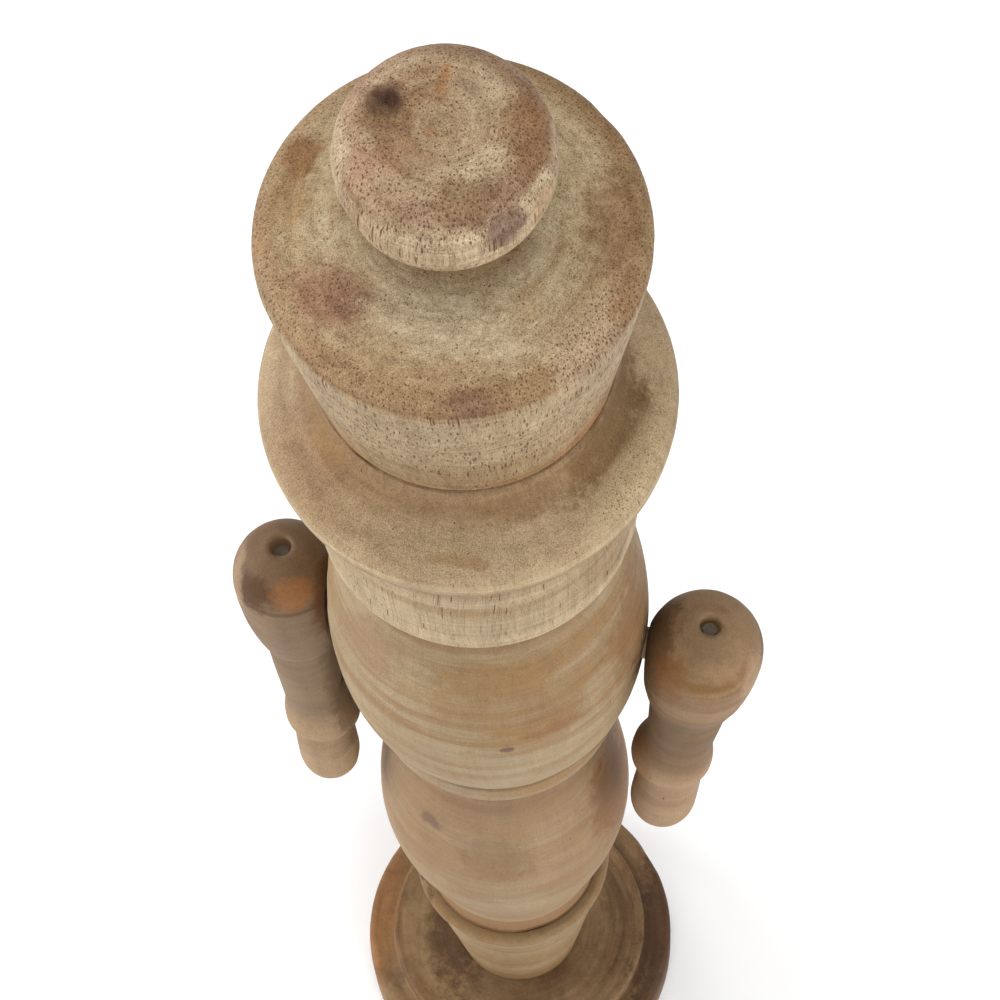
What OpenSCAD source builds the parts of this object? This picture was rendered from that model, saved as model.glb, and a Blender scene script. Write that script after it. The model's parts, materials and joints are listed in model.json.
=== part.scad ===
// Turned wooden doll: a standing figure with a tall hat, glued up from lathe
// turnings on hidden dowels, with two pegged arms that swing at the shoulders.
// +Z is up, the figure faces -Y, and its own left hand is at +X. The origin is
// on the turning axis at the underside of the felt, where the doll stands.

/* [Foot] */
// Radius of the round foot
base_r = 35.6; // [33:0.1:40]
// Radius of the raised step on the foot
step_r = 29.4; // [26:0.1:31]
// Height of the raised step above the outer ledge
step_h = 3.9; // [2:0.1:6]
// Height of the step's top above the ground
base_top = 19; // [16:0.5:24]
// Thickness of the felt disc under the foot
felt_t = 1.5; // [1:0.1:3]

/* [Leg] */
// Height of the joint between the leg and the hips
leg_top = 77.8; // [70:0.2:84]
// Radius of the leg where it stands on the foot
leg_foot_r = 14; // [12:0.1:18]
// Radius of the leg just below its rim
leg_r = 20.3; // [18:0.1:21]
// Radius of the rolled rim at the top of the leg
leg_rim_r = 21.4; // [20.6:0.1:23]

/* [Hips] */
// Height of the joint between the hips and the torso
hips_top = 189.8; // [186:0.2:194]
// Height of the widest ring of the hips
hips_wide_z = 131; // [122:1:140]
// Radius of the widest ring of the hips
hips_r = 25.9; // [24:0.1:28]
// Radius of the lip at the bottom of the hips
hips_lip_r = 19.4; // [18.8:0.1:21]
// Radius of the hips where they meet the torso
hips_neck_r = 20.6; // [18:0.1:22]

/* [Torso] */
// Height of the joint between the torso and the head
torso_top = 286; // [280:0.5:290]
// Height of the widest ring of the torso
torso_wide_z = 235; // [228:1:242]
// Radius of the widest ring of the torso
torso_r = 29.7; // [29.5:0.1:29.9]
// Radius of the torso's lower lip
torso_lip_r = 25.4; // [24.5:0.1:27]
// Radius of the bead at the waist
waist_r = 24.4; // [23.6:0.1:25.4]

/* [Head] */
// Radius of the plain band of the head
head_r = 27.8; // [26:0.1:29]
// Height of the joint between the head and the brim
head_top = 322; // [318:0.5:325]

/* [Hat] */
// Radius of the widest ring of the brim
brim_r = 34.3; // [32:0.1:36]
// Height of the widest ring of the brim
brim_wide_z = 332.4; // [331:0.1:334]
// Height of the joint between the brim and the crown
brim_top = 349.8; // [347:0.2:352]
// Radius of the crown where it stands on the brim
crown_foot_r = 24.3; // [22:0.1:25]
// Radius of the widest ring of the crown
crown_r = 30.1; // [28:0.1:32]
// Height of the widest ring of the crown
crown_wide_z = 391; // [386:0.5:395]
// Height of the crown's dome above its widest ring
dome_h = 9.2; // [8:0.1:11]

/* [Knob] */
// Radius of the widest ring of the knob
knob_r = 16.4; // [15:0.1:18]
// Height of the knob's widest ring above the top of the dome
knob_wide_h = 17.4; // [15:0.1:20]
// Height of the knob's top above its widest ring
knob_cap_h = 10.4; // [8:0.1:12]

/* [Arms] */
// Length of an arm from the top of the shoulder to the fingertips
arm_len = 97; // [90:0.5:104]
// Radius of the shoulder of an arm
shoulder_r = 11.1; // [11.1:0.1:11.6]
// Height of the shoulder dowels above the ground
shoulder_z = 228.7; // [222:0.1:236]
// Distance from the body's axis to the middle of the left shoulder
left_x = 40.4; // [40.1:0.1:40.5]
// Distance from the body's axis to the middle of the right shoulder
right_x = 38.4; // [38:0.1:40]
// Girth of the right arm as a share of the left arm's
right_girth = 0.93; // [0.88:0.01:1]
// Forward swing of the left arm at rest, in degrees
left_swing = 3.6; // [0:0.1:10]
// Forward swing of the right arm at rest, in degrees
right_swing = 5.8; // [0:0.1:10]
// Inward lean of the left arm, in degrees
left_lean = 4.7; // [3:0.1:5]
// Inward lean of the right arm, in degrees
right_lean = 3.2; // [2:0.1:4]

// Length of the left arm from the shoulder dowel to the thickest part of the cuff
left_cuff = 51; // [48:0.5:54]
// Length of the right arm from the shoulder dowel to the thickest part of the cuff
right_cuff = 55.5; // [52:0.5:58]

/* [Joints] */
// Radius of the glued dowels through the body
body_peg_r = 6; // [5:0.5:7]
// Radius of the glued dowel in the knob
knob_peg_r = 4; // [3:0.5:5]
// Radius of the shoulder dowels
arm_peg_r = 3; // [2.5:0.25:3.5]
// Radial clearance of a shoulder dowel in the torso
running_gap = 0.05; // [0.02:0.01:0.1]
// Radial clearance of a glued dowel in its socket
glue_gap = 0.03; // [0.02:0.01:0.06]

/* [Hidden] */
$fn = 96;

// Every glued dowel reaches peg_depth into each piece, in a socket a little deeper
peg_depth = 14;
socket_end = 0.5;
eps = 0.1;

dome_top = crown_wide_z + dome_h;
knob_wide_z = dome_top + knob_wide_h;
knob_top = knob_wide_z + knob_cap_h;

// The screw under the foot
screw_r = 2;
screw_head_r = 4.2;
screw_len = 42;
screw_gap = 0.1;

// The flat planed on each arm clears the chest by seat_gap
seat_gap = 0.35;
seat_x = torso_r + seat_gap;
torso_bore_in = 12;
pivot_drop = 13.5;

// The dowel's bore in an arm ends this far outside the shoulder's middle, the dowel a
// little short of it
arm_bore_out = 5;
peg_end = 0.4;

// The hole in the top of each shoulder and the steel pin at the bottom of it
hole_r = 1.95;
hole_depth = 3.2;
pin_head_r = 1.3;
pin_head_t = 0.9;
pin_r = 0.8;
pin_gap = 0.03;
pin_reach = 1.5;

// Points after the first along a cubic curve and along an elliptical arc
function bez(a, b, c, d, n = 9) = [for (i = [1:n]) let (t = i / n, u = 1 - t)
    u * u * u * a + 3 * u * u * t * b + 3 * u * t * t * c + t * t * t * d];
function arc(c, rx, rz, a0, a1, n = 6) = [for (i = [1:n]) let (a = a0 + (a1 - a0) * i / n)
    [c[0] + rx * cos(a), c[1] + rz * sin(a)]];

// Half outlines, [radius, height], from the axis at the bottom to the axis at the top
base_round = 2.4;
step_round = 1.1;
ledge_z = base_top - step_h;
base_chamfer = 0.6;
base_line = concat(
    [[0, felt_t], [base_r - base_chamfer, felt_t], [base_r, felt_t + base_chamfer],
        [base_r, ledge_z - base_round]],
    arc([base_r - base_round, ledge_z - base_round], base_round, base_round, 0, 90),
    [[step_r + 0.3, ledge_z], [step_r, ledge_z + 0.3], [step_r, base_top - step_round]],
    arc([step_r - step_round, base_top - step_round], step_round, step_round, 0, 90),
    [[0, base_top]]);

rim_h = 2.2;
leg_round = 1.5;
leg_line = concat(
    [[0, base_top], [leg_foot_r - leg_round, base_top]],
    arc([leg_foot_r - leg_round, base_top + leg_round], leg_round, leg_round, -90, -8),
    [[leg_r, leg_top - 2.6 * rim_h], [leg_r - 0.25, leg_top - 2.2 * rim_h]],
    arc([leg_rim_r - rim_h, leg_top - rim_h], rim_h, rim_h, -40, 78, 8),
    [[0, leg_top]]);

collar_r = hips_lip_r - 0.9;
collar_h = 8.6;
lip_z = leg_top + collar_h + 2.2;
hips_line = concat(
    [[0, leg_top], [collar_r + 0.5, leg_top]],
    bez([collar_r + 0.5, leg_top], [collar_r, leg_top + 0.3 * collar_h],
        [collar_r - 0.2, leg_top + 0.6 * collar_h], [collar_r, leg_top + collar_h], 5),
    arc([hips_lip_r - 1.2, lip_z], 1.2, 2, -75, 0),
    bez([hips_lip_r, lip_z], [hips_lip_r + 2.2, lip_z + 12.5], [hips_r, hips_wide_z - 16],
        [hips_r, hips_wide_z], 11),
    bez([hips_r, hips_wide_z], [hips_r, hips_wide_z + 19], [hips_neck_r + 1.2, hips_top - 29],
        [hips_neck_r, hips_top - 0.6], 12),
    [[hips_neck_r - 0.6, hips_top], [0, hips_top]]);

bead_h = 8.4;
bead_round = 1.1;
groove_r = waist_r - 0.9;
torso_line = concat(
    [[0, hips_top], [waist_r - 2, hips_top], [waist_r - bead_round, hips_top + 0.3]],
    arc([waist_r - bead_round, hips_top + 0.3 + bead_round], bead_round, bead_round, -80, 0),
    [[waist_r + 0.15, hips_top + 0.5 * bead_h]],
    arc([waist_r - bead_round, hips_top + bead_h - bead_round], bead_round, bead_round, 0, 70),
    [[groove_r, hips_top + bead_h + 0.6]],
    arc([torso_lip_r - 2, hips_top + bead_h + 4], 2, 3, -80, -10),
    bez([torso_lip_r, hips_top + bead_h + 3.8], [torso_lip_r + 2.9, hips_top + bead_h + 11],
        [torso_r, torso_wide_z - 14], [torso_r, torso_wide_z], 10),
    bez([torso_r, torso_wide_z], [torso_r, torso_wide_z + 17], [torso_r - 3.4, torso_top - 18],
        [torso_r - 7, torso_top], 11),
    [[0, torso_top]]);

head_round = 2;
head_line = concat(
    [[0, torso_top], [head_r - head_round - 0.6, torso_top]],
    arc([head_r - head_round, torso_top + head_round], head_round, head_round, -80, 0),
    [[head_r + 0.1, torso_top + 0.55 * (head_top - torso_top)]],
    bez([head_r + 0.1, torso_top + 0.55 * (head_top - torso_top)], [head_r + 0.2, head_top - 9],
        [head_r + 0.5, head_top - 4], [head_r + 1.4, head_top], 6),
    [[0, head_top]]);

// The brim: undercut, a narrow flat edge, a convex roll and a cove up to the crown
roll_w = 7.5;
roll_h = 6.8;
roll_top = 65;
roll_end = [brim_r - roll_w + roll_w * cos(roll_top), brim_wide_z + roll_h * sin(roll_top)];
brim_line = concat(
    [[0, head_top], [head_r + 1.5, head_top]],
    bez([head_r + 1.5, head_top], [head_r + 2.4, head_top + 2.2], [brim_r - 2.6, head_top + 3.4],
        [brim_r - 1.1, head_top + 5.6], 5),
    [[brim_r - 0.5, brim_wide_z - 4], [brim_r - 0.1, brim_wide_z - 0.9], [brim_r, brim_wide_z]],
    arc([brim_r - roll_w, brim_wide_z], roll_w, roll_h, 4, roll_top, 8),
    bez(roll_end, roll_end + [-2.6, 1.1], [crown_foot_r + 0.5, brim_wide_z + 11],
        [crown_foot_r + 0.2, brim_top], 8),
    [[0, brim_top]]);

crown_round_w = 6.4;
crown_round_h = 5.8;
seat_r = 11;
shoulder_end = [crown_r - crown_round_w * (1 - cos(76)), crown_wide_z + crown_round_h * sin(76)];
crown_line = concat(
    [[0, brim_top], [crown_foot_r - 0.6, brim_top], [crown_foot_r, brim_top + 0.6]],
    bez([crown_foot_r, brim_top + 0.6], [crown_foot_r + 2, brim_top + 15],
        [crown_r - 1.6, crown_wide_z - 13], [crown_r, crown_wide_z], 8),
    arc([crown_r - crown_round_w, crown_wide_z], crown_round_w, crown_round_h, 0, 76, 8),
    bez(shoulder_end, shoulder_end + [-5, 1.4], [seat_r + 5, dome_top - 0.4],
        [seat_r, dome_top], 7),
    [[0, dome_top]]);

knob_foot_r = 9.6;
knob_flat_r = 9;
knob_dish = 0.6;
knob_under = -52;
knob_line = concat(
    [[0, dome_top], [knob_foot_r, dome_top]],
    bez([knob_foot_r, dome_top], [knob_foot_r - 0.2, dome_top + 1.6],
        [knob_r * cos(knob_under) - 1.4, knob_wide_z + knob_r * sin(knob_under) - 1.4],
        [knob_r * cos(knob_under), knob_wide_z + knob_r * sin(knob_under)], 4),
    arc([0, knob_wide_z], knob_r, knob_r, knob_under, 0, 10),
    arc([knob_flat_r, knob_wide_z], knob_r - knob_flat_r, knob_cap_h, 0, 82, 9),
    bez([knob_flat_r + 0.6, knob_top - 0.1], [knob_flat_r - 1.4, knob_top + 0.05],
        [knob_flat_r - 4, knob_top - knob_dish], [0, knob_top - knob_dish], 6));

// An arm, from the fingertips up to the top of the shoulder, with the dowel's axis at 0
arm_foot = pivot_drop - arm_len;
dome_z = pivot_drop - 11.8;
notch_z = pivot_drop - 33.5;
notch_r = 0.75 * shoulder_r;
upper_r = 0.7 * shoulder_r;
neck_r = 0.6 * shoulder_r;
cuff_r = 0.68 * shoulder_r;
hand_r = 0.605 * shoulder_r;
cuff_edge = 3.4;
swell_shift = 1.3;
swell_top = 16;
function arm_line(cuff_z) = concat(
    [[0, arm_foot]],
    bez([0, arm_foot], [0.6 * hand_r, arm_foot], [hand_r, arm_foot + 3.6], [hand_r, arm_foot + 9], 7),
    bez([hand_r, arm_foot + 9], [hand_r, arm_foot + 14], [hand_r - 0.3, cuff_z - 8],
        [hand_r - 0.4, cuff_z - cuff_edge], 5),
    bez([hand_r - 0.4, cuff_z - cuff_edge], [cuff_r - 0.2, cuff_z - cuff_edge + 0.2],
        [cuff_r, cuff_z - 1.8], [cuff_r, cuff_z], 6),
    bez([cuff_r, cuff_z], [cuff_r, cuff_z + 3], [neck_r + 0.1, cuff_z + 4], [neck_r, cuff_z + 8], 6),
    bez([neck_r, cuff_z + 8], [neck_r, cuff_z + 13], [upper_r - 0.1, notch_z - 7],
        [upper_r, notch_z - 0.9], 5),
    [[notch_r, notch_z]],
    bez([notch_r, notch_z], [notch_r + 1.7, notch_z + 6], [shoulder_r, dome_z - 9],
        [shoulder_r, dome_z], 9),
    arc([0, dome_z], shoulder_r, pivot_drop - dome_z, 0, 90, 10));

// The cuff's fuller inner side, turned about a centre swell_shift nearer to the body
function swell_line(cuff_z) = concat(
    [[0, cuff_z - cuff_edge], [hand_r - 1.8, cuff_z - cuff_edge]],
    bez([hand_r - 1.8, cuff_z - cuff_edge], [cuff_r - 0.3, cuff_z - cuff_edge + 0.4],
        [cuff_r, cuff_z - 1.6], [cuff_r, cuff_z], 6),
    bez([cuff_r, cuff_z], [cuff_r, cuff_z + 5], [neck_r - 0.3, cuff_z + 7],
        [neck_r - swell_shift - 0.4, cuff_z + swell_top], 8),
    [[0, cuff_z + swell_top]]);

module turned(line) {
    rotate_extrude() polygon(line);
}

// A socket for a glued dowel, drilled depth deep along +Z from z
module socket(z, depth, r = body_peg_r) {
    translate([0, 0, z]) cylinder(r = r + glue_gap, h = depth);
}

module dowel(z0, z1, r = body_peg_r, chamfer = 0.8) {
    translate([0, 0, z0]) cylinder(r1 = r - chamfer, r2 = r, h = chamfer);
    translate([0, 0, z0 + chamfer]) cylinder(r = r, h = z1 - z0 - 2 * chamfer);
    translate([0, 0, z1 - chamfer]) cylinder(r1 = r, r2 = r - chamfer, h = chamfer);
}

// The shoulder's own frame: its X axis is the dowel's, turned to the arm's swing at rest
module at_shoulder(side) {
    x = side > 0 ? left_x : right_x;
    swing = side > 0 ? left_swing : right_swing;
    translate([side * x, 0, shoulder_z]) rotate([-swing, 0, 0]) children();
}

module along_arm(side) {
    lean = side > 0 ? left_lean : right_lean;
    at_shoulder(side) rotate([0, side * lean, 0]) children();
}

// A cylinder along X that runs outwards on the given side, from x0 to x1
module cross_peg(side, x0, x1, r) {
    translate([side * x0, 0, 0]) rotate([0, side * 90, 0]) cylinder(r = r, h = x1 - x0);
}

module arm(side, girth, cuff) {
    x = side > 0 ? left_x : right_x;
    color("#9c7f5f") difference() {
        along_arm(side) {
            turned([for (p = arm_line(-cuff)) [girth * p[0], p[1]]]);
            translate([-side * swell_shift, 0, 0])
                turned([for (p = swell_line(-cuff)) [girth * p[0], p[1]]]);
        }
        // the flat planed on the inside of the shoulder
        at_shoulder(side) translate([side * (seat_x - x - 20), 0, 0]) cube([40, 60, 60], center = true);
        at_shoulder(side) cross_peg(side, seat_x - x - 1, arm_bore_out, arm_peg_r + glue_gap);
        along_arm(side) translate([0, 0, pivot_drop - hole_depth]) cylinder(r = hole_r, h = hole_depth + 1);
        along_arm(side) cylinder(r = pin_r + pin_gap, h = pivot_drop - hole_depth + eps);
    }
}

module shoulder_dowel(side) {
    x = side > 0 ? left_x : right_x;
    color("#b79468") at_shoulder(side) difference() {
        cross_peg(side, torso_bore_in + socket_end - x, arm_bore_out - peg_end, arm_peg_r);
        rotate([0, side * (side > 0 ? left_lean : right_lean), 0])
            translate([0, 0, -pin_reach - socket_end]) cylinder(r = pin_r + pin_gap, h = 2 * arm_peg_r);
    }
}

module arm_pin(side) {
    head_z = pivot_drop - hole_depth;
    color("#6f6a63") along_arm(side) {
        translate([0, 0, head_z]) cylinder(r = pin_head_r, h = pin_head_t);
        translate([0, 0, -pin_reach]) cylinder(r = pin_r, h = head_z + pin_reach);
    }
}

module knob() {
    color("#b49a78") difference() {
        turned(knob_line);
        socket(dome_top - eps, peg_depth - 2 + eps, knob_peg_r);
    }
}

module hat_crown() {
    color("#b99d77") difference() {
        turned(crown_line);
        socket(dome_top - peg_depth, peg_depth + eps, knob_peg_r);
        socket(brim_top - eps, peg_depth + socket_end + eps);
    }
}

module hat_brim() {
    color("#b3946a") difference() {
        turned(brim_line);
        socket(head_top - 1, brim_top - head_top + 2);
    }
}

module head() {
    color("#c4a988") difference() {
        turned(head_line);
        socket(head_top - peg_depth - socket_end, peg_depth + socket_end + eps);
        socket(torso_top - eps, peg_depth + socket_end + eps);
    }
}

module torso() {
    color("#a98a60") difference() {
        turned(torso_line);
        socket(torso_top - peg_depth - socket_end, peg_depth + socket_end + eps);
        socket(hips_top - eps, peg_depth + socket_end + eps);
        for (side = [-1, 1])
            translate([0, 0, shoulder_z])
                cross_peg(side, torso_bore_in, torso_r + 1, arm_peg_r + running_gap);
    }
}

module hips() {
    color("#ab8c6b") difference() {
        turned(hips_line);
        socket(hips_top - peg_depth - socket_end, peg_depth + socket_end + eps);
        socket(leg_top - eps, peg_depth + socket_end + eps);
    }
}

module leg() {
    color("#a08462") difference() {
        turned(leg_line);
        socket(leg_top - peg_depth - socket_end, peg_depth + socket_end + eps);
        translate([0, 0, base_top - eps])
            cylinder(r = screw_r + glue_gap, h = screw_len + 1 - base_top + eps);
    }
}

module base() {
    color("#7d6243") difference() {
        turned(base_line);
        translate([0, 0, felt_t - eps]) cylinder(r = screw_r + screw_gap, h = base_top);
        translate([0, 0, felt_t - eps])
            cylinder(r1 = screw_head_r + screw_gap + eps, r2 = screw_r + screw_gap,
                h = screw_head_r - screw_r + eps);
    }
}

module felt_pad() {
    color("#4a4038") cylinder(r = base_r - 2.4, h = felt_t);
}

module left_arm() { arm(1, 1, left_cuff); }
module right_arm() { arm(-1, right_girth, right_cuff); }
module left_shoulder_dowel() { shoulder_dowel(1); }
module right_shoulder_dowel() { shoulder_dowel(-1); }
module left_arm_pin() { arm_pin(1); }
module right_arm_pin() { arm_pin(-1); }

module knob_dowel() {
    color("#c2a27a")
        dowel(dome_top - peg_depth + socket_end, dome_top + peg_depth - 2 - socket_end, knob_peg_r);
}
module hat_dowel() { color("#c2a27a") dowel(head_top - peg_depth, brim_top + peg_depth); }
module neck_dowel() { color("#c2a27a") dowel(torso_top - peg_depth, torso_top + peg_depth); }
module waist_dowel() { color("#c2a27a") dowel(hips_top - peg_depth, hips_top + peg_depth); }
module leg_dowel() { color("#c2a27a") dowel(leg_top - peg_depth, leg_top + peg_depth); }

module base_screw() {
    tip_h = 4;
    slot_w = 1;
    slot_depth = 1.1;
    color("#8f8f8c") difference() {
        union() {
            translate([0, 0, felt_t]) cylinder(r1 = screw_head_r, r2 = screw_r, h = screw_head_r - screw_r);
            translate([0, 0, felt_t + 1]) cylinder(r = screw_r, h = screw_len - felt_t - tip_h - 1);
            translate([0, 0, screw_len - tip_h]) cylinder(r1 = screw_r, r2 = 0.3, h = tip_h);
        }
        for (turn = [0, 90])
            rotate([0, 0, turn]) translate([0, 0, felt_t]) cube([5, slot_w, 2 * slot_depth], center = true);
    }
}

knob();
hat_crown();
hat_brim();
head();
torso();
hips();
leg();
base();
felt_pad();
left_arm();
right_arm();
left_shoulder_dowel();
right_shoulder_dowel();
left_arm_pin();
right_arm_pin();
knob_dowel();
hat_dowel();
neck_dowel();
waist_dowel();
leg_dowel();
base_screw();
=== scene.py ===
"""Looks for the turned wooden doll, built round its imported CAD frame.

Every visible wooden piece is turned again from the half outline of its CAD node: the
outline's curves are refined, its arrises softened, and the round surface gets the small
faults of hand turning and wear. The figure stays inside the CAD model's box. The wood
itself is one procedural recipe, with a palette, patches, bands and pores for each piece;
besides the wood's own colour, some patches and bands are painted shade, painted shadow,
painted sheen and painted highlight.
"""

import json
import math
from types import SimpleNamespace

import bmesh
import bpy
from mathutils import Matrix, Vector, noise


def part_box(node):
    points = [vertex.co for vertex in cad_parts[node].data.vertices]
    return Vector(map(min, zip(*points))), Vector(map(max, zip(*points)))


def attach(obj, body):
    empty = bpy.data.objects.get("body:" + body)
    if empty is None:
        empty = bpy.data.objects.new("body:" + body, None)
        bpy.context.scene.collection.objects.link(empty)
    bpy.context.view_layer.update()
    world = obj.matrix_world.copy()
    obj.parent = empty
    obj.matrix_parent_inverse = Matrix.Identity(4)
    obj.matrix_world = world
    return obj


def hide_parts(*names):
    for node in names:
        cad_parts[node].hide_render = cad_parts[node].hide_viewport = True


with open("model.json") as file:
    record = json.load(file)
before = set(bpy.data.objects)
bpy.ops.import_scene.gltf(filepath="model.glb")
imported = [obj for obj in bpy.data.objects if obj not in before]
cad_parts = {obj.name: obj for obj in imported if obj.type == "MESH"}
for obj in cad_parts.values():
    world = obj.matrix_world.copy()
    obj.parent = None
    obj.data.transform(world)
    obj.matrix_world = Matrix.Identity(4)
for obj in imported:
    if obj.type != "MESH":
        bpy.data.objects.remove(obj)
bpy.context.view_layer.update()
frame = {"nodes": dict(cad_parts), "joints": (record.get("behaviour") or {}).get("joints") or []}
nodes = frame["nodes"]

MM = 0.001  # the meshes are worked out in millimetres and made in metres

SIDES = ("left", "right")  # the figure's own; its left is +X

# How each arm hangs at rest, in degrees, as in the CAD model
LEAN = {"left": 4.7, "right": -3.2}
SWING = {"left": 3.6, "right": 5.8}

# Each cuff's middle, in mm along its arm, and how much fuller its inner side is
CUFF = {"left": -51.0, "right": -55.5}
SWELL = 1.2
# where the swelling is nothing, and where it is whole, in mm above the cuff's middle
SWELL_FOOT = (-3.2, -1.0)
SWELL_TOP = (14.0, 1.0)

# Holes and cuts, in mm
TORSO_FIT = 0.05  # play all round a shoulder dowel where it turns in the torso
ARM_FIT = 0.03  # the same where it is fixed in the arm
DOWEL_END_GAP = 0.5  # beyond a dowel's end in the torso
ARM_BORE_SPARE = 0.4  # the same in the arm
TORSO_BORE_END = 32.0  # from the axis: past the torso's skin
PIN_SPLIT = 1.5  # a radius between the pin's own and that of the hole above its head
SHOULDER_BAND = 6.0  # the arm's flat is looked for within this height of the dowel
FLAT_DEPTH = 30.0  # how thick a block is taken off inside the flat
FLAT_SPAN = 40.0  # and how far it reaches up, down, forward and back


# ---------------------------------------------------------------- meshes

def linked(name, data):
    """A new object in the scene for a mesh, a lamp or a camera."""
    obj = bpy.data.objects.new(name, data)
    bpy.context.scene.collection.objects.link(obj)
    return obj


def mesh_object(name, bm):
    """A new object in the scene with the faces of bm, which is used up."""
    mesh = bpy.data.meshes.new(name)
    bm.to_mesh(mesh)
    bm.free()
    return linked(name, mesh)


# ---------------------------------------------------------------- turned pieces

SEGMENTS = 200  # round the axis of a body turning
ARM_SEGMENTS = 96
STEP = 0.8  # along an outline, in mm
ARM_STEP = 0.7
ARM_WEAR = 1.3  # how worn the arms are, against 1 for the body
RUB = 0.4  # how far an arris is rubbed down at most, in mm for each radian that it turns
FILLET = 0.3  # how far a sharp arris is softened, in mm
JOINT_FILLET = 0.1  # the same for the arris of a glued joint face
CORNER = math.radians(26)  # a sharper turn than this is a corner, and stays one
STRAIGHT = math.radians(0.4)  # a slighter turn than this is none
CLOSE = 0.05  # outline points nearer to each other than this, in mm, are one
LONG = 4.0  # a stretch this many times longer than the next one is straight
HIDDEN_R = 7.0  # inside this radius in mm a body's outline is a socket or a joint face
TINY = 1e-3  # in mm: as good as on the axis, or in one place


def half_outline(node, to_axis):
    """The (radius, height) points in mm, from the bottom up, where the half plane X = 0,
    Y > 0 cuts a node whose turning axis is brought to Z by to_axis."""
    bm = bmesh.new()
    bm.from_mesh(node.data)
    bm.transform(to_axis)
    bm.transform(Matrix.Scale(1 / MM, 4))
    bmesh.ops.remove_doubles(bm, verts=bm.verts, dist=TINY)
    # Y < 0 goes first, and then all that isn't on the plane X = 0
    for normal, outer in (((0, 1, 0), False), ((1, 0, 0), True)):
        bmesh.ops.bisect_plane(
            bm, geom=bm.verts[:] + bm.edges[:] + bm.faces[:], dist=1e-4,
            plane_co=(0, 0, 0), plane_no=normal, clear_inner=True, clear_outer=outer)
    bmesh.ops.remove_doubles(bm, verts=bm.verts, dist=TINY)
    ends = [v for v in bm.verts if len(v.link_edges) == 1]
    here = min(ends or bm.verts, key=lambda v: (v.co.z, v.co.y))
    line, seen = [here], {here}
    while True:
        onward = [e.other_vert(here) for e in here.link_edges]
        onward = [v for v in onward if v not in seen]
        if not onward:
            break
        here = max(onward, key=lambda v: v.co.y) if len(line) == 1 else onward[0]
        line.append(here)
        seen.add(here)
    points = [Vector((v.co.y, v.co.z)) for v in line]
    bm.free()
    return straightened(points)


def turn_at(a, b, c):
    """The angle by which the line a-b-c turns at b."""
    u, v = b - a, c - b
    return abs(math.atan2(u.x * v.y - u.y * v.x, u.dot(v)))


def straightened(points):
    """The points without near doubles and those that lie on a straight stretch."""
    apart = [points[0]]
    for p in points[1:-1]:
        if min((p - apart[-1]).length, (p - points[-1]).length) > CLOSE:
            apart.append(p)
    apart.append(points[-1])
    kept = [apart[0]]
    for p, onward in zip(apart[1:], apart[2:]):
        if turn_at(kept[-1], p, onward) > STRAIGHT:
            kept.append(p)
    return kept + [apart[-1]]


def softened(points):
    """Each visible corner is cut back and rounded off."""
    out = [points[0]]
    for a, b, c in zip(points, points[1:], points[2:]):
        if turn_at(a, b, c) < CORNER or b.x < HIDDEN_R:
            out.append(b)
            continue
        size = JOINT_FILLET if min(a.x, c.x) < HIDDEN_R else FILLET
        start = b + (a - b).normalized() * min(size, 0.4 * (a - b).length)
        end = b + (c - b).normalized() * min(size, 0.4 * (c - b).length)
        for t in (0, 0.25, 0.5, 0.75, 1):
            out.append(start * (1 - t) ** 2 + b * 2 * t * (1 - t) + end * t * t)
    return out + [points[-1]]


def refined(points, step=STEP):
    """The outline as a smooth curve through the points between corners, sampled at about step."""
    out = [points[0]]
    for i in range(len(points) - 1):
        b, c = points[i], points[i + 1]
        length = (c - b).length
        a = points[i - 1] if i and turn_at(points[i - 1], b, c) < CORNER else b
        d = c
        if i + 2 < len(points) and turn_at(b, c, points[i + 2]) < CORNER:
            d = points[i + 2]
        into = slope(a, b, c) * length
        away = slope(b, c, d) * length
        count = max(1, round(length / step)) if max(b.x, c.x) > HIDDEN_R else 1
        # a cubic from b to c with the slopes into and away
        for k in range(1, count + 1):
            t = k / count
            out.append(b * (2 * t**3 - 3 * t * t + 1) + into * (t**3 - 2 * t * t + t)
                       + c * (3 * t * t - 2 * t**3) + away * (t**3 - t * t))
    return out


def slope(a, b, c):
    """The unit direction of a smooth curve through a, b and c at b; a or c may equal b."""
    before, after = (b - a).length, (c - b).length
    if before < 1e-6 or after < 1e-6:
        return (c - a).normalized()
    if before > LONG * after:
        return (b - a).normalized()
    if after > LONG * before:
        return (c - b).normalized()
    return ((b - a) / before * after + (c - b) / after * before).normalized()


def worn(place, seed, strength):
    """How far in mm the surface lies under the perfect turning at a place: slow and fine
    waves, lifted fibres and a few dents."""
    p = place + Vector((seed * 37.0, 0, 0))
    out_of_round = 0.02 + 0.02 * noise.noise(p * 0.03)
    ripple = 0.025 * (1 + noise.noise(Vector((seed, 0, place.z * 1.9))))
    fibre = 0.02 * (1 + noise.noise(Vector((p.x * 0.9, p.y * 0.9, p.z * 0.07))))
    dent = max(0.0, noise.noise(p * 0.11) - 0.35) * 0.8
    return strength * (out_of_round + ripple + fibre + dent)


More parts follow.
